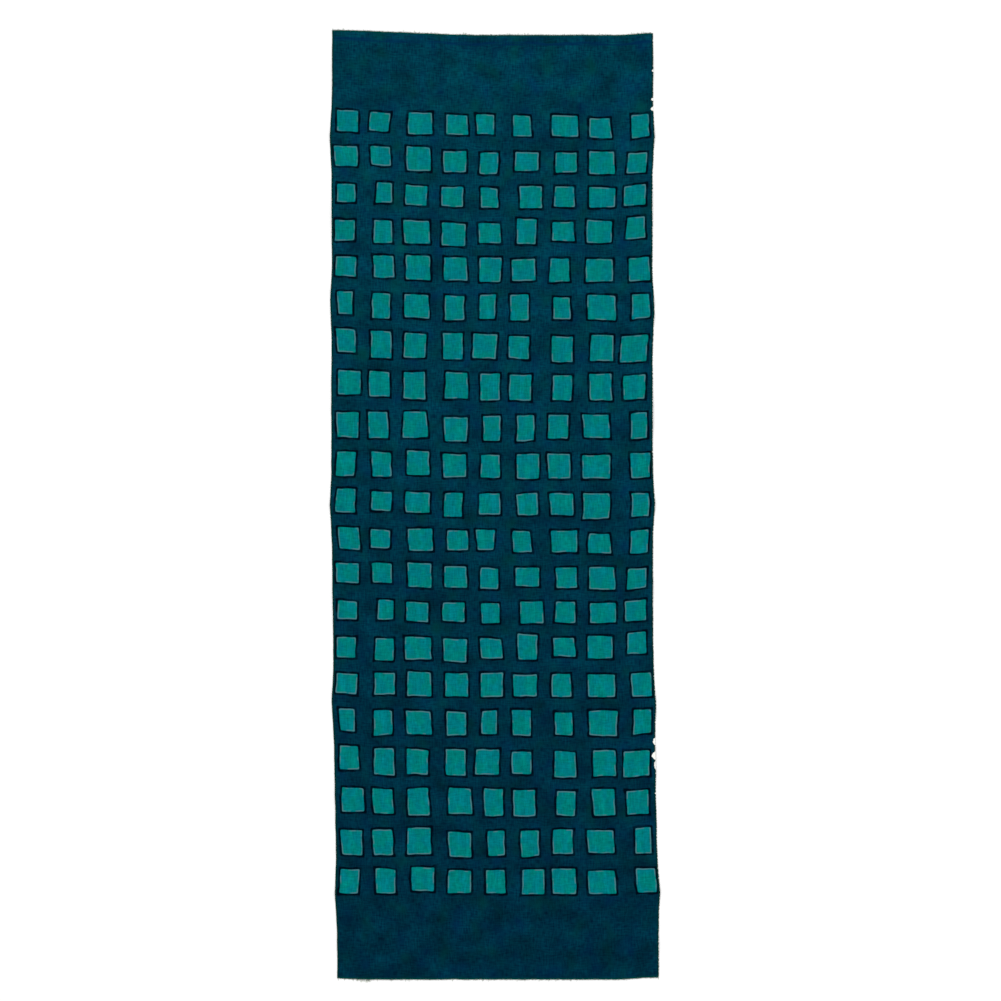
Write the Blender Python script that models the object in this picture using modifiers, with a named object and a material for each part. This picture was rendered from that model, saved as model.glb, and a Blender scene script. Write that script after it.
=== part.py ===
"""A tenugui, the thin cotton hand towel of Japan, lying open on the surface it rests on.

It is one piece of plain-woven cloth, 0.34 m by 1.00 m, with a selvedge down each long side and a
cut, unsewn edge at each short end. It keeps the five soft creases of its last folding.
Metres, +Z up. The origin is on the resting surface, under the middle of the cloth's outline:
X runs across the cloth, Y runs along it and Z is up.
"""

import math

import bpy
from mathutils import Vector, noise

# ---------------------------------------------------------------- driving sizes, in metres
MM = 0.001
CLOTH_WIDTH = 0.340
CLOTH_LENGTH = 1.000
CLOTH_THICKNESS = 1.2 * MM

# Spacing of the mesh across the cloth, along a flat panel, and the steps in half a crease.
ACROSS_STEPS = 16
PANEL_SPACING = 26 * MM
CREASE_STEPS = 4

# The cloth lies a little askew: from just past its middle, its near part leans over to the right.
LEAN = 6 * MM
LEAN_FROM = -50 * MM

# Between the creases the selvedges run slightly uneven.
SIDE_WAVE = 1 * MM
SIDE_WAVE_LENGTH = 150 * MM

# How far each corner stands out past its cut end, and how far across the cloth that reaches.
CORNERS = [
    # end, side, reach, out; in mm
    (1, -1, 160, 5),
    (1, 1, 40, 2),
    (-1, -1, 40, -1),
    (-1, 1, 40, -2),
]

# The creases that folding left across the cloth, far end first. A ridge stands up on its crest. A
# furrow presses down on the surface, and the cloth swells on either side of it.
# slew is how far the crease runs out of square.
CREASES = [
    # along, kind,    rise, half_width, slew; all in mm
    (390, "ridge", 1.1, 15, 3),
    (210, "furrow", 0.9, 19, -7),
    (0, "ridge", 1.3, 16, 2),
    (-210, "furrow", 0.8, 18, -4),
    (-410, "ridge", 1.0, 15, 2),
]
# The selvedges push out at each crease.
FLARE = 2 * MM
FLARE_REACH = 45 * MM
CREASE_FADE = 0.35

# Where a selvedge has puckered and lifts off the surface, in mm.
PUCKERS = [
    # side, along, half_length, reach, rise
    (-1, 452, 34, 30, 0.9),
    (-1, 301, 41, 38, 1.2),
    (-1, 108, 33, 26, 0.7),
    (-1, -104, 45, 40, 1.1),
    (-1, -312, 38, 30, 0.9),
    (-1, -461, 27, 24, 0.6),
    (1, 462, 28, 24, 0.7),
    (1, 318, 36, 31, 0.8),
    (1, 97, 44, 42, 1.2),
    (1, -88, 31, 25, 0.7),
    (1, -268, 40, 34, 1.1),
    (1, -466, 30, 28, 0.8),
]


def eased(share):
    """0 for shares below 0, 1 for shares above 1, and a smooth rise between."""
    share = min(1.0, max(0.0, share))
    return share * share * (3 - 2 * share)


def hump(distance, half_width):
    """A smooth hump, 1 in its middle and 0 from half_width outwards."""
    if abs(distance) >= half_width:
        return 0.0
    return 0.5 + 0.5 * math.cos(math.pi * distance / half_width)


def selvedge(side, along):
    """Where a selvedge runs across the surface at a place along the cloth."""
    lean = LEAN * eased((LEAN_FROM - along) / (LEAN_FROM + CLOTH_LENGTH / 2))
    out = SIDE_WAVE * noise.noise(Vector((side * 3.1, along / SIDE_WAVE_LENGTH, 0.5)))
    for crease_along, _, _, _, slew in CREASES:
        gap = abs(along - (crease_along + side * slew / 2) * MM)
        out += FLARE * max(0.0, 1 - gap / FLARE_REACH) ** 1.5
    return side * (CLOTH_WIDTH / 2 + out) + lean


def cut_end(end, across):
    """Where a cut end runs along the surface at a place across the cloth."""
    out = 0.0
    for corner_end, side, reach, corner_out in CORNERS:
        if corner_end == end:
            inwards = CLOTH_WIDTH / 2 - side * across
            out += corner_out * MM * eased(1 - inwards / (reach * MM))
    return end * (CLOTH_LENGTH / 2 + out)


def crease_rise(across, along):
    """How high the creases lift the underside of the cloth off the surface."""
    rise = 0.0
    share = across / (CLOTH_WIDTH / 2)
    for crease_along, kind, height, half_width, slew in CREASES:
        gap = along / MM - crease_along - slew / 2 * share
        fading = 1 - CREASE_FADE * (0.5 + 0.5 * math.cos(2.2 * share * math.pi + crease_along))
        if kind == "ridge":
            rise += height * fading * hump(gap, half_width)
        else:
            rise += height * fading * hump(abs(gap) - half_width / 2, half_width / 2)
    return rise * MM


def pucker_rise(across, along):
    """How high the puckers lift the selvedges off the surface."""
    rise = 0.0
    for side, pucker_along, half_length, reach, height in PUCKERS:
        inwards = side * (selvedge(side, along) - across) / MM
        rise += height * hump(along / MM - pucker_along, half_length) * hump(inwards, reach)
    return rise * MM


def sections_along():
    """Where the mesh has its rows: close together in each crease and wide apart on the panels."""
    places = [-CLOTH_LENGTH / 2, CLOTH_LENGTH / 2]
    for crease_along, _, _, half_width, _ in CREASES:
        for step in range(-CREASE_STEPS, CREASE_STEPS + 1):
            places.append((crease_along + half_width * step / CREASE_STEPS) * MM)
    places.sort()
    rows = []
    for low, high in zip(places, places[1:]):
        count = max(1, round((high - low) / PANEL_SPACING))
        rows += [low + (high - low) * step / count for step in range(count)]
    return rows + [places[-1]]


def on_the_surface(share_across, along):
    """The point of the cloth's underside at a share of its width and a place along its cut."""
    across = selvedge(-1, along) * (1 - share_across) + selvedge(1, along) * share_across
    share_along = along / CLOTH_LENGTH + 0.5
    placed = cut_end(-1, across) * (1 - share_along) + cut_end(1, across) * share_along
    return across, placed, crease_rise(across, along) + pucker_rise(across, along)


def dyed_cotton():
    """Blue-green dyed cotton, matt."""
    material = bpy.data.materials.new("dyed_cotton")
    material.use_nodes = True
    shader = material.node_tree.nodes["Principled BSDF"]
    shader.inputs["Base Color"].default_value = (0.0, 0.028, 0.056, 1.0)
    shader.inputs["Roughness"].default_value = 0.9
    shader.inputs["Metallic"].default_value = 0.0
    return material


def make_cloth(collection):
    """The cloth: a grid laid on the surface along its creases, given its thickness upwards."""
    rows = sections_along()
    bpy.ops.mesh.primitive_grid_add(x_subdivisions=ACROSS_STEPS, y_subdivisions=len(rows) - 1, size=1)
    cloth = bpy.context.object
    cloth.name = "tenugui_cloth"
    for vertex in cloth.data.vertices:
        row = round((vertex.co.y + 0.5) * (len(rows) - 1))
        # The columns close up towards the selvedges, where the puckers are.
        share_across = 0.5 - 0.5 * math.cos(math.pi * (vertex.co.x + 0.5))
        share_across = 0.6 * share_across + 0.4 * (vertex.co.x + 0.5)
        vertex.co = on_the_surface(share_across, rows[row])

    lowest = [min(vertex.co[axis] for vertex in cloth.data.vertices) for axis in range(2)]
    highest = [max(vertex.co[axis] for vertex in cloth.data.vertices) for axis in range(2)]
    for vertex in cloth.data.vertices:
        vertex.co.x -= (lowest[0] + highest[0]) / 2
        vertex.co.y -= (lowest[1] + highest[1]) / 2

    thickness = cloth.modifiers.new("thickness", "SOLIDIFY")
    thickness.thickness = CLOTH_THICKNESS
    thickness.offset = 1
    cloth.data.shade_smooth()
    cloth.data.materials.append(dyed_cotton())
    for holder in cloth.users_collection:
        holder.objects.unlink(cloth)
    collection.objects.link(cloth)
    return cloth


for old in list(bpy.data.objects):
    bpy.data.objects.remove(old)
tenugui = bpy.data.collections.new("tenugui")
bpy.context.scene.collection.children.link(tenugui)
make_cloth(tenugui)
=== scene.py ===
"""A tenugui, the thin cotton hand towel of Japan, lying open and flat under soft light.

Metres, +Z up: X runs across the cloth, Y along it, and its underside rests on Z = 0.
"""

import math
import random

import bmesh
import bpy
from mathutils import Matrix, Vector, kdtree, noise


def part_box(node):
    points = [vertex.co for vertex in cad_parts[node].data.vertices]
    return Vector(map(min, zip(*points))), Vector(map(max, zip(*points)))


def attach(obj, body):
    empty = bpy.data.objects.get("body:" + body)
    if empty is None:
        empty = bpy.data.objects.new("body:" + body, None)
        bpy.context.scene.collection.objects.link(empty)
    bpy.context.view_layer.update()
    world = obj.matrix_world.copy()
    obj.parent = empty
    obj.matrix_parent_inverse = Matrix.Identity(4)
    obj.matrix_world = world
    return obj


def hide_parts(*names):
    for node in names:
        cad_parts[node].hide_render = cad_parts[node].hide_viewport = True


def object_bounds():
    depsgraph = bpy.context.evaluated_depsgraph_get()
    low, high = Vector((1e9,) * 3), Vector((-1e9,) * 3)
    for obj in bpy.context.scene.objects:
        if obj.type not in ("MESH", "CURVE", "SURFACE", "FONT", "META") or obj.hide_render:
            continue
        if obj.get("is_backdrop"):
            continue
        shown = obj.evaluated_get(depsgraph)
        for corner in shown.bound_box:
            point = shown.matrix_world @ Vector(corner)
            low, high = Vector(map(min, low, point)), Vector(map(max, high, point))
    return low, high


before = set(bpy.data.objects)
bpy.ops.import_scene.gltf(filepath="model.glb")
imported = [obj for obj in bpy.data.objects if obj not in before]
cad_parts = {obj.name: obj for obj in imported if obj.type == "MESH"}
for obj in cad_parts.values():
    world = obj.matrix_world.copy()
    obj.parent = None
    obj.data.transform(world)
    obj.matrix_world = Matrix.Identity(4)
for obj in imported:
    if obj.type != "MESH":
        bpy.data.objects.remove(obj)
cad_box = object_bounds()
bpy.ops.object.select_all(action="DESELECT")


# ---------------------------------------------------------------- the camera
# A long lens straight above the cloth, far enough off that its sides run parallel.
VIEW_WIDTH = 1.0604
VIEW_MIDDLE = (0.0059, 0.0046)
camera_data = bpy.data.cameras.new("camera")
camera_data.lens = 100
camera_data.sensor_width = 36
camera = bpy.data.objects.new("camera", camera_data)
camera.location = (*VIEW_MIDDLE, VIEW_WIDTH * camera_data.lens / camera_data.sensor_width)
bpy.context.scene.collection.objects.link(camera)
bpy.context.scene.camera = camera


# ---------------------------------------------------------------- the cloth
# One length of plain-woven cotton, half a millimetre thick, as wide as the roll it was cut from. It
# lies as it was unfolded: five soft creases cross it, its sides push out at each of them, and it
# keeps the low waves of a cloth that was washed and smoothed by hand.
MM = 0.001
CLOTH_WIDTH = 0.340
CLOTH_LENGTH = 1.000
CLOTH_THICKNESS = 0.5 * MM
ACROSS_CELLS = 96
ALONG_CELLS = 280

# The cloth lies a little askew: from just past its middle, its near part leans over to the right.
LEAN = 6 * MM
LEAN_FROM = -50 * MM

# Between the creases the selvedges run slightly uneven.
SIDE_WAVE = 1 * MM
SIDE_WAVE_LENGTH = 150 * MM

# How far each corner stands out past its cut end, and how far across the cloth that reaches.
CORNERS = [
    # end, side, reach, out; in mm
    (1, -1, 160, 5),
    (1, 1, 40, 2),
    (-1, -1, 40, -1),
    (-1, 1, 40, -2),
]

# The creases that folding left across the cloth, far end first. A ridge stands up on its crest. A
# furrow presses down on the surface, and the cloth swells on either side of it.
# slew is how far the crease runs out of square.
CREASES = [
    # along, kind,    rise, half_width, slew; all in mm
    (390, "ridge", 1.1, 15, 3),
    (210, "furrow", 0.9, 19, -7),
    (0, "ridge", 1.3, 16, 2),
    (-210, "furrow", 0.8, 18, -4),
    (-410, "ridge", 1.0, 15, 2),
]
# The selvedges push out at each crease.
FLARE = 2 * MM
FLARE_REACH = 45 * MM
CREASE_FADE = 0.35

# Where a selvedge has puckered and lifts off the surface, in mm.
PUCKERS = [
    # side, along, half_length, reach, rise
    (-1, 452, 34, 30, 0.9),
    (-1, 301, 41, 38, 1.2),
    (-1, 108, 33, 26, 0.7),
    (-1, -104, 45, 40, 1.1),
    (-1, -312, 38, 30, 0.9),
    (-1, -461, 27, 24, 0.6),
    (1, 462, 28, 24, 0.7),
    (1, 318, 36, 31, 0.8),
    (1, 97, 44, 42, 1.2),
    (1, -88, 31, 25, 0.7),
    (1, -268, 40, 34, 1.1),
    (1, -466, 30, 28, 0.8),
]

# The low waves over the whole cloth: how long they are each way, and how high.
WAVES = [
    # across, along, rise; all in mm
    (74, 96, 0.30),
    (21, 29, 0.14),
]
EDGE_WAVE = 0.35 * MM
EDGE_WAVE_LENGTH = 14 * MM


def eased(share):
    """0 for shares below 0, 1 for shares above 1, and a smooth rise between."""
    share = min(1.0, max(0.0, share))
    return share * share * (3 - 2 * share)


def hump(distance, half_width):
    """A smooth hump, 1 in its middle and 0 from half_width outwards."""
    if abs(distance) >= half_width:
        return 0.0
    return 0.5 + 0.5 * math.cos(math.pi * distance / half_width)


def selvedge(side, along):
    """Where a selvedge runs across the surface at a place along the cloth."""
    lean = LEAN * eased((LEAN_FROM - along) / (LEAN_FROM + CLOTH_LENGTH / 2))
    out = SIDE_WAVE * noise.noise(Vector((side * 3.1, along / SIDE_WAVE_LENGTH, 0.5)))
    for crease_along, _, _, _, slew in CREASES:
        gap = abs(along - (crease_along + side * slew / 2) * MM)
        out += FLARE * max(0.0, 1 - gap / FLARE_REACH) ** 1.5
    wave = EDGE_WAVE * noise.noise(Vector((side * 5.3, along / EDGE_WAVE_LENGTH, 0.5)))
    return side * (CLOTH_WIDTH / 2 + out + wave) + lean


def cut_end(end, across):
    """Where a cut end runs along the surface at a place across the cloth."""
    out = EDGE_WAVE * noise.noise(Vector((across / EDGE_WAVE_LENGTH, end * 4.1, 0.5)))
    for corner_end, side, reach, corner_out in CORNERS:
        if corner_end == end:
            inwards = CLOTH_WIDTH / 2 - side * across
            out += corner_out * MM * eased(1 - inwards / (reach * MM))
    return end * (CLOTH_LENGTH / 2 + out)


def crease_rise(across, along):
    """How high the creases lift the underside of the cloth off the surface."""
    rise = 0.0
    share = across / (CLOTH_WIDTH / 2)
    for crease_along, kind, height, half_width, slew in CREASES:
        gap = along / MM - crease_along - slew / 2 * share
        fading = 1 - CREASE_FADE * (0.5 + 0.5 * math.cos(2.2 * share * math.pi + crease_along))
        if kind == "ridge":
            rise += height * fading * hump(gap, half_width)
        else:
            rise += height * fading * hump(abs(gap) - half_width / 2, half_width / 2)
    return rise * MM


def pucker_rise(across, along):
    """How high the puckers lift the selvedges off the surface."""
    rise = 0.0
    for side, pucker_along, half_length, reach, height in PUCKERS:
        inwards = side * (selvedge(side, along) - across) / MM
        rise += height * hump(along / MM - pucker_along, half_length) * hump(inwards, reach)
    return rise * MM


def wave_rise(across, along):
    """How high the low waves lift the cloth."""
    rise = 0.0
    for wave_across, wave_along, height in WAVES:
        place = Vector((across / MM / wave_across, along / MM / wave_along, height))
        rise += height * (0.5 + 0.5 * noise.noise(place))
    return rise * MM


def on_the_surface(share_across, along):
    """The point of the cloth's underside at a share of its width and a place along its cut."""
    across = selvedge(-1, along) * (1 - share_across) + selvedge(1, along) * share_across
    share_along = along / CLOTH_LENGTH + 0.5
    placed = cut_end(-1, across) * (1 - share_along) + cut_end(1, across) * share_along
    rise = crease_rise(across, along) + pucker_rise(across, along) + wave_rise(across, along)
    return Vector((across, placed, rise))


bpy.ops.mesh.primitive_grid_add(x_subdivisions=ACROSS_CELLS, y_subdivisions=ALONG_CELLS, size=1)
cloth = bpy.context.object
cloth.name = "tenugui"
for vertex in cloth.data.vertices:
    vertex.co = on_the_surface(vertex.co.x + 0.5, vertex.co.y * CLOTH_LENGTH)

# The frame has its origin under the middle of the cloth's outline.
node_low, node_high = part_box("tenugui_cloth")
lowest = Vector([min(vertex.co[axis] for vertex in cloth.data.vertices) for axis in range(3)])
highest = Vector([max(vertex.co[axis] for vertex in cloth.data.vertices) for axis in range(3)])
centring = (node_low + node_high - lowest - highest) / 2
centring.z = -lowest.z
cloth.data.transform(Matrix.Translation(centring))

# The map gives each point its place on the flat cloth, in metres: from the left selvedge, and along
# the cloth from its middle.
flat_map = cloth.data.uv_layers.active
flat_map.name = "flat_cloth"
for corner in flat_map.data:
    corner.uv = (corner.uv.x * CLOTH_WIDTH, (corner.uv.y - 0.5) * CLOTH_LENGTH)

thickness = cloth.modifiers.new("thickness", "SOLIDIFY")
thickness.thickness = CLOTH_THICKNESS
thickness.offset = 1
bpy.ops.object.modifier_apply(modifier="thickness")
bpy.ops.object.shade_smooth_by_angle(angle=math.radians(40))


# ---------------------------------------------------------------- the dyed blocks
# The blocks are the windows of one paper stencil, cut by hand: nine columns, and eleven rows to the
# repeat. It is laid down twice along the cloth, so a window has the same shape in both repeats, give
# or take what the dye did. The plain bands at both ends are cloth that the stencil doesn't reach.
COLUMNS = [
    # how wide its windows are, how far off the next column stands
    ("narrow", "close"),
    ("narrow", "apart"),
    ("wide", "apart"),
    ("middling", "close"),
    ("narrow", "apart"),
    ("middling", "apart"),
    ("middling", "apart"),
    ("wide", "apart"),
    ("narrow", "apart"),
]
WINDOW_WIDTHS = {"narrow": 20 * MM, "middling": 22 * MM, "wide": 25 * MM}
COLUMN_GAPS = {"close": 14 * MM, "apart": 17 * MM}
SIDE_MARGIN = 7 * MM

# The windows grow taller and lower again once in the repeat, with equal gaps between the rows.
ROWS = 21
ROWS_OF_STENCIL = 11
PLAIN_BAND = 85 * MM
WINDOW_HEIGHT = 23.5 * MM
ROW_GAP = 16.5 * MM
HEIGHT_SWELL = 2.5 * MM
TALLEST_ROW = 7
# How far the right end of a row stands beyond its left end.
MEAN_LIFT = -2 * MM
LIFT_SPREAD = 2.5 * MM

# How unevenly the windows were cut, and how far a window differs from one repeat to the next.
COLUMN_WANDER = 9 * MM
WIDTH_SPREAD = 2.0 * MM
HEIGHT_SPREAD = 1.4 * MM
PLACE_SPREAD = 0.8 * MM
LEAN_SPREAD = 0.6 * MM
CORNER_SPREAD = 0.35 * MM
REPRINT_SPREAD = 0.25 * MM
SIDES = ("near_side", "right_side", "far_side", "left_side")


def stencil_columns():
    """The middle of each column, from the left selvedge, and the width of its windows."""
    columns = []
    left = SIDE_MARGIN
    for width_name, gap_name in COLUMNS:
        width = WINDOW_WIDTHS[width_name]
        columns.append((left + width / 2, width))
        left += width + COLUMN_GAPS[gap_name]
    return columns


def printed_rows():
    """The middle of each row along the cloth, far end first, and its windows' height and lift."""
    rows = []
    far_side = CLOTH_LENGTH / 2 - PLAIN_BAND
    for row in range(ROWS):
        stencil_row = row % ROWS_OF_STENCIL
        turn = math.tau * (stencil_row - TALLEST_ROW) / ROWS_OF_STENCIL
        height = WINDOW_HEIGHT + HEIGHT_SWELL * math.cos(turn)
        lift = random.Random(300 + stencil_row).gauss(MEAN_LIFT, LIFT_SPREAD)
        rows.append((far_side - height / 2, height, lift))
        far_side -= height + ROW_GAP
    return rows


column_places = stencil_columns()
row_places = printed_rows()


def window_corners(column, row):
    """The four corners of a window on the flat cloth: near left, near right, far right, far left."""
    stencil_row = row % ROWS_OF_STENCIL
    cut = random.Random(1000 + 31 * stencil_row + column)
    printed = random.Random(5000 + 31 * row + column)
    column_middle, width = column_places[column]
    row_middle, height, lift = row_places[row]
    wander = COLUMN_WANDER * noise.noise(Vector((column * 3.7, stencil_row * 0.34, 1.2)))
    middle = column_middle + wander + cut.gauss(0, PLACE_SPREAD)
    along = row_middle + lift * (middle / CLOTH_WIDTH - 0.5) + cut.gauss(0, PLACE_SPREAD)
    half_width = (width + cut.gauss(0, WIDTH_SPREAD)) / 2
    half_height = (height + cut.gauss(0, HEIGHT_SPREAD)) / 2
    lean = cut.gauss(0, LEAN_SPREAD)
    corners = []
    for right, far in ((-1, -1), (1, -1), (1, 1), (-1, 1)):
        spread = [cut.gauss(0, CORNER_SPREAD) + printed.gauss(0, REPRINT_SPREAD) for _ in range(2)]
        across = middle + right * half_width + far * lean / 2 + spread[0]
        corners.append(Vector((across, along + far * half_height + spread[1])))
    return corners


def side_line(start, end):
    """A side of a window as three numbers. Times a place and 1, they add up to mm outside that side."""
    run = (end - start).normalized()
    outwards = Vector((run.y, -run.x))
    return Vector((outwards.x, outwards.y, -outwards.dot(start))) / MM


windows = [window_corners(column, row) for row in range(ROWS) for column in range(len(COLUMNS))]
window_finder = kdtree.KDTree(len(windows))
for number, corners in enumerate(windows):
    window_finder.insert(sum(corners, Vector((0, 0))).to_3d() / 4, number)
window_finder.balance()

# Each face of the cloth carries the four sides of the window nearest to it.
for side in SIDES:
    cloth.data.attributes.new(side, "FLOAT_VECTOR", "FACE")
side_layers = [cloth.data.attributes[side].data for side in SIDES]
flat_map = cloth.data.uv_layers["flat_cloth"].data
for face in cloth.data.polygons:
    middle = sum((flat_map[corner].uv for corner in face.loop_indices), Vector((0, 0))) / face.loop_total
    corners = windows[window_finder.find(middle.to_3d())[1]]
    for number, layer in enumerate(side_layers):
        layer[face.index].vector = side_line(corners[number], corners[(number + 1) % 4])


# ---------------------------------------------------------------- the dyed cotton
# Plain-woven unbleached cotton, dyed through. The ground is a deep blue-green, a little darker towards
# the near end, and the blocks are pale teal. Each block has a near-black line round it,
# where the two dyes met, and a greyish rim inside that, where the paste held some of the dye back.
WARP_PITCH = 0.55 * MM
WEFT_PITCH = 0.62 * MM
SLUB_WIDTH = 1.5 * MM
SLUB_LENGTH = 7 * MM


def dye(red, green, blue):
    """A colour by its red, green and blue on a screen, from 0 to 255."""
    channels = [channel / 255 for channel in (red, green, blue)]
    return tuple([c / 12.92 if c <= 0.04045 else ((c + 0.055) / 1.055) ** 2.4 for c in channels] + [1.0])


def put(tree, kind, inputs, output=0, **settings):
    """A node in a tree with its settings, and its inputs set to values or linked. Returns an output."""
    made = tree.nodes.new("ShaderNode" + kind)
    for name, value in settings.items():
        setattr(made, name, value)
    for socket, value in inputs.items():
        if isinstance(value, bpy.types.NodeSocket):
            tree.links.new(value, made.inputs[socket])
        else:
            made.inputs[socket].default_value = value
    return made.outputs[output]


def sum_of(tree, operation, *values):
    """A Math node."""
    return put(tree, "Math", dict(enumerate(values)), operation=operation)


def soft_step(tree, value, low, high):
    """From 0 at low to 1 at high, smoothly."""
    ends = {"Value": value, "From Min": low, "From Max": high}
    return put(tree, "MapRange", ends, interpolation_type="SMOOTHSTEP")


def stroke(tree, distance, middle, half_width):
    """A soft line, 1 along its middle and fading to 0 at one and a half times its half width."""
    off = sum_of(tree, "ABSOLUTE", sum_of(tree, "SUBTRACT", distance, middle))
    share = sum_of(tree, "DIVIDE", off, half_width)
    return sum_of(tree, "SUBTRACT", 1.0, soft_step(tree, share, 0.5, 1.5))


def tinted(tree, share, under, over):
    """One colour laid over another by a share."""
    return put(tree, "Mix", {0: share, 6: under, 7: over}, output=2, data_type="RGBA")


def shaded(tree, colour, light):
    """A colour made lighter or darker by a factor."""
    return put(tree, "VectorMath", {0: colour, "Scale": light}, operation="SCALE")


def cloudy(tree, place, across, along, detail=2.0, output="Fac"):
    """Cloudy noise, from 0 to 1, whose patches are across and along metres in size."""
    scaled = put(tree, "VectorMath", {0: place, 1: (1 / across, 1 / along, 1)}, operation="MULTIPLY")
    inputs = {"Vector": scaled, "Scale": 1.0, "Detail": detail}
    return put(tree, "TexNoise", inputs, output=output, noise_dimensions="2D")


def new_group(name, inputs, outputs):
    """An empty shader node group with named inputs and outputs: the group, its input and its output."""
    group = bpy.data.node_groups.new(name, "ShaderNodeTree")
    for socket, kind in inputs.items():
        group.interface.new_socket(socket, in_out="INPUT", socket_type="NodeSocket" + kind)
    for socket, kind in outputs.items():
        group.interface.new_socket(socket, in_out="OUTPUT", socket_type="NodeSocket" + kind)
    return group, group.nodes.new("NodeGroupInput"), group.nodes.new("NodeGroupOutput")


# Plain weave, from a place on the flat cloth. Height is the yarns passing over and under each other.
# Slub is how thick, and so how deeply dyed, the yarns run: warp and weft each in long thin streaks.
weave, into, out = new_group("plain weave", {"Place": "Vector"}, {"Height": "Float", "Slub": "Float"})
place = into.outputs["Place"]
half_turns = (math.pi / WARP_PITCH, math.pi / WEFT_PITCH, 0)
turns = put(weave, "VectorMath", {0: place, 1: half_turns}, operation="MULTIPLY")
parts = put(weave, "SeparateXYZ", {0: turns}).node
warp = sum_of(weave, "SINE", parts.outputs["X"])
weft = sum_of(weave, "SINE", parts.outputs["Y"])
warp_over = sum_of(weave, "GREATER_THAN", sum_of(weave, "MULTIPLY", warp, weft), 0.0)
heights = {0: warp_over, 2: sum_of(weave, "ABSOLUTE", weft), 3: sum_of(weave, "ABSOLUTE", warp)}
weave.links.new(put(weave, "Mix", heights), out.inputs["Height"])
warp_slub = cloudy(weave, place, SLUB_WIDTH, SLUB_LENGTH, detail=0.0)
weft_slub = cloudy(weave, place, SLUB_LENGTH, SLUB_WIDTH, detail=0.0)
slub = sum_of(weave, "MULTIPLY", 0.5, sum_of(weave, "ADD", warp_slub, weft_slub))
weave.links.new(slub, out.inputs["Slub"])

# Where the dye didn't reach the right selvedge, the raw cotton shows in small ragged bites.
NICKS = [
    # along, half_length, depth; in mm
    (460, 1.5, 1.5),
    (430, 2, 2),
    (420, 2.5, 2.5),
    (-250, 4, 2.5),
    (-265, 4.5, 4),
    (-275, 5, 1.5),
    (-305, 1, 1),
]
NICK_WOBBLE = 1.6 * MM
nicks, into, out = new_group("undyed nicks", {"Place": "Vector"}, {"Undyed": "Float"})
place = into.outputs["Place"]
wobbly = cloudy(nicks, place, 1.8 * MM, 1.8 * MM, output="Color")
wobbly = put(nicks, "VectorMath", {0: wobbly, 1: (0.5, 0.5, 0.5)}, operation="SUBTRACT")
wobbly = put(nicks, "VectorMath", {0: wobbly, "Scale": NICK_WOBBLE}, operation="SCALE")
wobbly = put(nicks, "VectorMath", {0: place, 1: wobbly}, operation="ADD")
parts = put(nicks, "SeparateXYZ", {0: wobbly}).node
reach = 0.0
for nick_along, half_length, depth in NICKS:
    off = sum_of(nicks, "SUBTRACT", parts.outputs["Y"], nick_along * MM)
    off = sum_of(nicks, "DIVIDE", off, half_length * MM)
    bite = sum_of(nicks, "SUBTRACT", 1.0, sum_of(nicks, "MULTIPLY", off, off))
    reach = sum_of(nicks, "MAXIMUM", reach, sum_of(nicks, "MULTIPLY", bite, depth * MM))
inwards = sum_of(nicks, "SUBTRACT", CLOTH_WIDTH, parts.outputs["X"])
left_over = sum_of(nicks, "SUBTRACT", reach, inwards)
nicks.links.new(soft_step(nicks, left_over, -0.2 * MM, 0.3 * MM), out.inputs["Undyed"])

cotton = bpy.data.materials.new("dyed_cotton")
cotton.use_nodes = True
tree = cotton.node_tree
place = put(tree, "UVMap", {}, uv_map="flat_cloth")
woven = put(tree, "Group", {"Place": place}, node_tree=weave).node.outputs
undyed = put(tree, "Group", {"Place": place}, node_tree=nicks)
parts = put(tree, "SeparateXYZ", {0: place}).node.outputs

# How far outside its window a point is, in mm. The paste's edge bows and wanders a little.
PASTE_WANDER = 1.8 * MM
PASTE_WANDER_LENGTH = 15 * MM
CORNER_SOFTNESS = 2.4
wander = cloudy(tree, place, PASTE_WANDER_LENGTH, PASTE_WANDER_LENGTH, detail=1.0, output="Color")
wander = put(tree, "VectorMath", {0: wander, 1: (0.5, 0.5, 0.0)}, operation="SUBTRACT")
wander = put(tree, "VectorMath", {0: wander, "Scale": PASTE_WANDER}, operation="SCALE")
wandered = put(tree, "VectorMath", {0: place, 1: wander}, operation="ADD")
wandered = put(tree, "SeparateXYZ", {0: wandered}).node.outputs
wandered = put(tree, "CombineXYZ", {"X": wandered["X"], "Y": wandered["Y"], "Z": 1.0})
outside = None
for side in SIDES:
    line = put(tree, "Attribute", {}, output="Vector", attribute_name=side)
    off = put(tree, "VectorMath", {0: wandered, 1: line}, output="Value", operation="DOT_PRODUCT")
    outside = off if outside is None else sum_of(tree, "SMOOTH_MAX", outside, off, CORNER_SOFTNESS)

# The ground: each yarn took the dye deeper or paler along its length, with bluer and greener clouds,
# and the whole is darker towards the near end.
GROUND_DEEP = dye(0, 27, 50)
GROUND_PALE = dye(0, 65, 80)
GROUND_BLUE = dye(0, 38, 74)
GROUND_GREEN = dye(0, 62, 58)
DEEPER_NEAR = (1.0, 0.61, 0.70, 1.0)
EVEN = (1.0, 1.0, 1.0, 1.0)
streak = put(tree, "MapRange", {"Value": woven["Slub"], "From Min": 0.14, "From Max": 0.86})
ground = tinted(tree, streak, GROUND_DEEP, GROUND_PALE)
mottle = cloudy(tree, place, 20 * MM, 24 * MM, detail=1.0)
ground = tinted(tree, soft_step(tree, mottle, 0.48, 1.15), ground, GROUND_BLUE)
ground = tinted(tree, soft_step(tree, mottle, 0.52, -0.15), ground, GROUND_GREEN)
cloud = cloudy(tree, place, 30 * MM, 22 * MM, detail=1.0)
ground = shaded(tree, ground, sum_of(tree, "MULTIPLY_ADD", cloud, 1.1, 0.45))
deeper = tinted(tree, soft_step(tree, parts["Y"], 0.46, -0.42), EVEN, DEEPER_NEAR)
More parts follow.
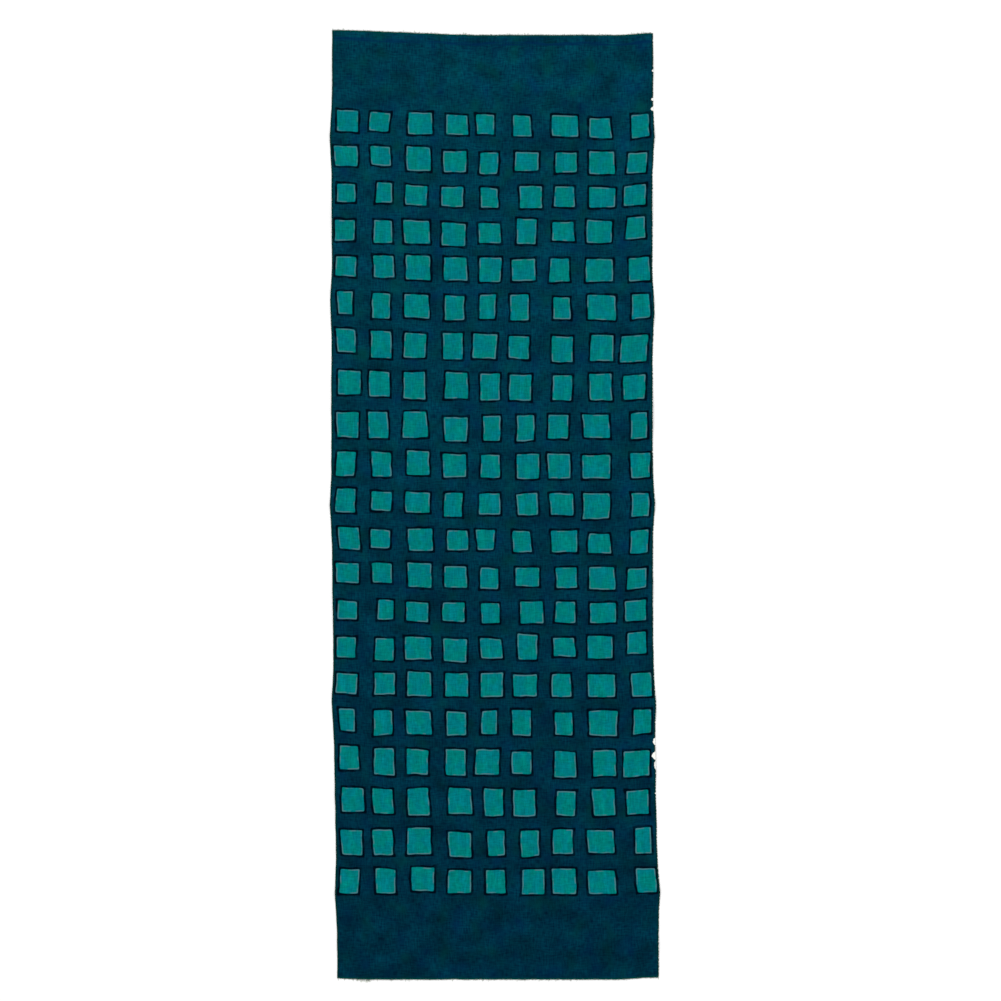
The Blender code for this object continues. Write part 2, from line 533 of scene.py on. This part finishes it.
ground = put(tree, "VectorMath", {0: ground, 1: deeper}, operation="MULTIPLY")

# The blocks, a little greener or bluer from place to place, some with a paler band along the warp.
BLOCK_GREEN = dye(0, 120, 114)
BLOCK_BLUE = dye(0, 115, 122)
block_cloud = cloudy(tree, place, 12 * MM, 15 * MM, detail=2.0)
block = tinted(tree, soft_step(tree, block_cloud, 0.35, 0.65), BLOCK_GREEN, BLOCK_BLUE)
block_band = cloudy(tree, place, 6 * MM, 30 * MM)
block_band = sum_of(tree, "MULTIPLY_ADD", soft_step(tree, block_band, 0.45, 0.7), 0.16, 0.95)
block = shaded(tree, block, sum_of(tree, "MULTIPLY_ADD", woven["Slub"], 0.7, 0.6))
block = shaded(tree, block, block_band)

# The line round each block and the rim inside it, both thicker in some places than in others.
LINE = dye(0, 0, 14)
RIM = dye(80, 114, 124)
line_cloud = cloudy(tree, place, 12 * MM, 12 * MM, output="Color")
line_cloud = put(tree, "SeparateColor", {0: line_cloud}).node.outputs
line_middle = sum_of(tree, "MULTIPLY_ADD", line_cloud["Red"], 1.8, 0.5)
line_half_width = sum_of(tree, "MULTIPLY_ADD", line_cloud["Green"], 1.8, 0.25)
line_depth = sum_of(tree, "MULTIPLY_ADD", soft_step(tree, line_cloud["Blue"], 0.35, 0.55), 0.35, 0.65)
line = sum_of(tree, "MULTIPLY", stroke(tree, outside, line_middle, line_half_width), line_depth)
rim_cloud = cloudy(tree, place, 14 * MM, 14 * MM)
rim = stroke(tree, outside, -0.4, 0.5)
rim = sum_of(tree, "MULTIPLY", rim, soft_step(tree, rim_cloud, 0.42, 0.6))
colour = tinted(tree, line, ground, LINE)
colour = tinted(tree, sum_of(tree, "SUBTRACT", 1.0, soft_step(tree, outside, -0.05, 0.5)), colour, block)
colour = tinted(tree, sum_of(tree, "MULTIPLY", rim, 0.85), colour, RIM)

# The edges took more dye: a thin green-black line down the selvedges and a greener one along the cut
# ends. Inside the far end runs a darker, bluer band.
SELVEDGE_LINE = dye(0, 42, 30)
CUT_LINE = dye(0, 62, 48)
FAR_BAND = dye(0, 34, 72)
FAR_BAND_IN = 9 * MM
FAR_BAND_HALF_WIDTH = 2 * MM
from_side = sum_of(tree, "MINIMUM", parts["X"], sum_of(tree, "SUBTRACT", CLOTH_WIDTH, parts["X"]))
from_end = sum_of(tree, "SUBTRACT", CLOTH_LENGTH / 2, sum_of(tree, "ABSOLUTE", parts["Y"]))
from_far_end = sum_of(tree, "SUBTRACT", CLOTH_LENGTH / 2, parts["Y"])
band_cloud = cloudy(tree, place, 40 * MM, 4 * MM)
band = stroke(tree, from_far_end, FAR_BAND_IN, FAR_BAND_HALF_WIDTH)
band = sum_of(tree, "MULTIPLY", band, soft_step(tree, band_cloud, 0.35, 0.6))
colour = tinted(tree, sum_of(tree, "MULTIPLY", band, 0.7), colour, FAR_BAND)
side_line_share = sum_of(tree, "MULTIPLY", soft_step(tree, from_side, 2.6 * MM, 0.6 * MM), 0.85)
colour = tinted(tree, side_line_share, colour, SELVEDGE_LINE)
cut_line_share = sum_of(tree, "MULTIPLY", soft_step(tree, from_end, 2.2 * MM, 0.4 * MM), 0.8)
colour = tinted(tree, cut_line_share, colour, CUT_LINE)

RAW_COTTON = dye(244, 244, 238)
colour = tinted(tree, undyed, colour, RAW_COTTON)
shader = tree.nodes["Principled BSDF"]
tree.links.new(colour, shader.inputs["Base Color"])
shader.inputs["Specular IOR Level"].default_value = 0.12
shader.inputs["Specular Tint"].default_value = (0.02, 0.6, 0.75, 1.0)
shader.inputs["Sheen Weight"].default_value = 0.04
shader.inputs["Sheen Tint"].default_value = (0.02, 0.5, 0.62, 1.0)
roughness = sum_of(tree, "MULTIPLY_ADD", woven["Slub"], -0.12, 0.96)
tree.links.new(roughness, shader.inputs["Roughness"])
height = sum_of(tree, "ADD", woven["Height"], sum_of(tree, "MULTIPLY", woven["Slub"], 2.0))
bump = put(tree, "Bump", {"Strength": 0.4, "Distance": 0.12 * MM, "Height": height})
tree.links.new(bump, shader.inputs["Normal"])
cloth.data.materials.append(cotton)

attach(cloth, "root")
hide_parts("tenugui_cloth")


# ---------------------------------------------------------------- the dyed yarn of the edges
# The same cotton where it stands free of the weave. The dye is green-black at the root of a yarn and
# has rubbed off its fine fibres, which are the colour of pale straw-green cotton.
YARN_GREEN = dye(0, 62, 42)
YARN_DEEP = dye(0, 34, 34)
YARN_PALE = dye(128, 152, 88)
yarn = bpy.data.materials.new("dyed_yarn")
yarn.use_nodes = True
tree = yarn.node_tree
place = put(tree, "UVMap", {}, uv_map="flat_cloth")
undyed = put(tree, "Group", {"Place": place}, node_tree=nicks)
along = put(tree, "SeparateXYZ", {0: place}).node.outputs["Y"]
beyond_end = sum_of(tree, "SUBTRACT", sum_of(tree, "ABSOLUTE", along), CLOTH_LENGTH / 2)
yarn_cloud = cloudy(tree, place, 2.4 * MM, 2.4 * MM, detail=3.0)
colour = tinted(tree, soft_step(tree, yarn_cloud, 0.35, 0.65), YARN_GREEN, YARN_DEEP)
worn = sum_of(tree, "ADD", beyond_end, sum_of(tree, "MULTIPLY_ADD", yarn_cloud, 2.4 * MM, -1.2 * MM))
colour = tinted(tree, soft_step(tree, worn, 0.6 * MM, 2.4 * MM), colour, YARN_PALE)
colour = tinted(tree, undyed, colour, RAW_COTTON)
shader = tree.nodes["Principled BSDF"]
tree.links.new(colour, shader.inputs["Base Color"])
tree.links.new(sum_of(tree, "MULTIPLY_ADD", yarn_cloud, 0.1, 0.88), shader.inputs["Roughness"])
shader.inputs["Specular IOR Level"].default_value = 0.12
twist = put(tree, "TexNoise", {"Scale": 2600.0, "Detail": 2.0})
bump = put(tree, "Bump", {"Strength": 0.5, "Distance": 0.05 * MM, "Height": twist})
tree.links.new(bump, shader.inputs["Normal"])


def strewn(name, pattern, places):
    """Copies of a pattern joined as one piece. Each place is a matrix and the flat place of its root."""
    joined = bmesh.new()
    for matrix, flat_root in places:
        copy = pattern.data.copy()
        copy.transform(matrix)
        if matrix.determinant() < 0:
            copy.flip_normals()
        root = matrix.translation
        layer = copy.uv_layers["flat_cloth"].data
        for corner in copy.loops:
            offset = copy.vertices[corner.vertex_index].co - root
            layer[corner.index].uv = (flat_root[0] + offset.x, flat_root[1] + offset.y)
        joined.from_mesh(copy)
        bpy.data.meshes.remove(copy)
    mesh = bpy.data.meshes.new(name)
    joined.to_mesh(mesh)
    joined.free()
    mesh.materials.append(yarn)
    mesh.shade_smooth()
    piece = bpy.data.objects.new(name, mesh)
    bpy.context.scene.collection.objects.link(piece)
    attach(piece, "root")
    return piece


def on_the_cloth(flat_across, along):
    """Where a place on the flat cloth lies, on the underside of the cloth as it is laid down."""
    return on_the_surface(flat_across / CLOTH_WIDTH, along) + centring


# ---------------------------------------------------------------- the selvedges
# Down each long side the weft turns back into the cloth. Each turn comes up round the outermost warp
# yarns and goes back under them one pick further on, so the edge is a row of small slanting loops.
TURN_PITCH = 2 * WEFT_PITCH
TURN_YARN_RADIUS = 0.17 * MM
TURN_RADIUS = 0.15 * MM
TURN_REACH = 1.25
TURN_BURIED = 0.03 * MM
TURN_RISE = 0.62 * CLOTH_THICKNESS

bpy.ops.object.select_all(action="DESELECT")
bpy.ops.mesh.primitive_torus_add(
    major_segments=10,
    minor_segments=5,
    major_radius=TURN_RADIUS,
    minor_radius=TURN_YARN_RADIUS,
    rotation=(math.pi / 2, 0, 0),
)
turn = bpy.context.object
bpy.ops.object.transform_apply(location=True, rotation=True, scale=True)
bpy.ops.object.mode_set(mode="EDIT")
bpy.ops.mesh.select_all(action="SELECT")
bpy.ops.mesh.bisect(plane_co=(-TURN_BURIED, 0, 0), plane_no=(1, 0, 0), use_fill=True, clear_inner=True)
bpy.ops.object.mode_set(mode="OBJECT")
turn.data.uv_layers.active.name = "flat_cloth"
for vertex in turn.data.vertices:
    vertex.co.y += vertex.co.z / (TURN_RADIUS + TURN_YARN_RADIUS) * WEFT_PITCH / 2
    vertex.co.x *= TURN_REACH

edge_draw = random.Random(41)
for side, name in ((-1, "selvedge_left"), (1, "selvedge_right")):
    flat_across = CLOTH_WIDTH * (side + 1) / 2
    places = []
    along = -CLOTH_LENGTH / 2 + TURN_PITCH / 2
    while along < CLOTH_LENGTH / 2:
        root = on_the_cloth(flat_across, along) + Vector((0, 0, TURN_RISE))
        size = edge_draw.uniform(0.85, 1.15)
        facing = Matrix.Diagonal((side * size, size, size, 1))
        twist = Matrix.Rotation(edge_draw.gauss(0, 0.15), 4, "Z")
        places.append((Matrix.Translation(root) @ twist @ facing, (flat_across, along)))
        along += TURN_PITCH * edge_draw.uniform(0.9, 1.1)
    strewn(name, turn, places)
bpy.data.objects.remove(turn)


# ---------------------------------------------------------------- the cut ends
# The two short ends are cut across and left unsewn, so the warp yarns stand a millimetre or so out of
# the last weft. Each has come a little untwisted into finer fibres at its tip.
YARN_RADIUS = 0.21 * MM
FIBRE_RADIUS = 0.05 * MM
YARN_BURIED = 0.6 * MM
END_LENGTHS = (0.15, 0.75)
LONG_SHARE = 0.05
LONG_EXTRA = (0.4, 1.5)
TUFT_MIDDLE = -140
TUFT_HALF_LENGTH = 15
TUFT_EXTRA = 2.4

bpy.ops.object.select_all(action="DESELECT")
bpy.ops.mesh.primitive_cone_add(
    vertices=6,
    radius1=YARN_RADIUS,
    radius2=0.45 * YARN_RADIUS,
    depth=1,
    location=(0, 0.5, 0),
    rotation=(-math.pi / 2, 0, 0),
)
yarn_end = bpy.context.object
for turned, lean in ((0.5, 0.35), (2.4, -0.30), (4.6, 0.1)):
    bpy.ops.mesh.primitive_cone_add(
        vertices=3,
        radius1=FIBRE_RADIUS,
        radius2=0.3 * FIBRE_RADIUS,
        depth=0.75,
        location=(0.5 * YARN_RADIUS * math.cos(turned), 1.15, 0.5 * YARN_RADIUS * math.sin(turned)),
        rotation=(-math.pi / 2, 0, 0),
    )
    fibre = bpy.context.object
    for vertex in fibre.data.vertices:
        vertex.co.x += lean * MM * (0.375 + vertex.co.z)
    yarn_end.select_set(True)
    bpy.context.view_layer.objects.active = yarn_end
    bpy.ops.object.join()
bpy.ops.object.transform_apply(location=True, rotation=True, scale=True)
bpy.ops.object.mode_set(mode="EDIT")
for cut in (0.3, 0.6, 0.85, 1.15):
    bpy.ops.mesh.select_all(action="SELECT")
    bpy.ops.mesh.bisect(plane_co=(0, cut, 0), plane_no=(0, 1, 0))
bpy.ops.object.mode_set(mode="OBJECT")
yarn_end.data.uv_layers.active.name = "flat_cloth"

for end, name in ((1, "frayed_far_end"), (-1, "frayed_near_end")):
    places = []
    flat_across = WARP_PITCH / 2
    while flat_across < CLOTH_WIDTH:
        length = edge_draw.uniform(*END_LENGTHS)
        if edge_draw.random() < LONG_SHARE:
            length += edge_draw.uniform(*LONG_EXTRA)
        root = on_the_cloth(flat_across, end * CLOTH_LENGTH / 2)
        if end < 0:
            length += TUFT_EXTRA * edge_draw.random() * hump(root.x / MM - TUFT_MIDDLE, TUFT_HALF_LENGTH)
        root += Vector((0, -end * YARN_BURIED, CLOTH_THICKNESS / 2 + edge_draw.uniform(-0.02, 0.06) * MM))
        reach = Matrix.Diagonal((edge_draw.choice((-1, 1)), end * (length * MM + YARN_BURIED), 1, 1))
        yaw = Matrix.Rotation(edge_draw.gauss(0, 0.16), 4, "Z")
        flat_root = (flat_across, end * (CLOTH_LENGTH / 2 - YARN_BURIED))
        places.append((Matrix.Translation(root) @ yaw @ reach, flat_root))
        flat_across += WARP_PITCH * edge_draw.uniform(0.85, 1.15)
    strewn(name, yarn_end, places)
bpy.data.objects.remove(yarn_end)


# ---------------------------------------------------------------- the floor and the light
# A white table top under an even white sky, with a wide soft lamp from the far left.
FLOOR_SIZE = 24
FLOOR_DROP = 0.1 * MM
SKY_STRENGTH = 0.72
LAMP_ENERGY = 1.55
LAMP_ANGLE = math.radians(50)
LAMP_TURNED = (math.radians(-32), math.radians(-24), 0)
bpy.ops.mesh.primitive_plane_add(size=FLOOR_SIZE, location=(0, 0, -FLOOR_DROP))
floor = bpy.context.object
floor.name = "floor"
white = bpy.data.materials.new("white_table")
white.use_nodes = True
shader = white.node_tree.nodes["Principled BSDF"]
shader.inputs["Base Color"].default_value = (0.96, 0.96, 0.96, 1.0)
shader.inputs["Roughness"].default_value = 0.9
shader.inputs["Specular IOR Level"].default_value = 0.0
floor.data.materials.append(white)
floor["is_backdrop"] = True

sky = bpy.data.worlds.new("studio")
sky.use_nodes = True
sky.node_tree.nodes["Background"].inputs["Color"].default_value = (1.0, 1.0, 1.0, 1.0)
sky.node_tree.nodes["Background"].inputs["Strength"].default_value = SKY_STRENGTH
bpy.context.scene.world = sky

lamp_data = bpy.data.lights.new("lamp", "SUN")
lamp_data.energy = LAMP_ENERGY
lamp_data.angle = LAMP_ANGLE
lamp = bpy.data.objects.new("lamp", lamp_data)
lamp.rotation_euler = LAMP_TURNED
bpy.context.scene.collection.objects.link(lamp)

bpy.context.scene.view_settings.view_transform = "Standard"
bpy.context.scene.view_settings.look = "None"


# ---------------------------------------------------------------- the sizes
corners = {"cad": cad_box, "visual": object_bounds()}
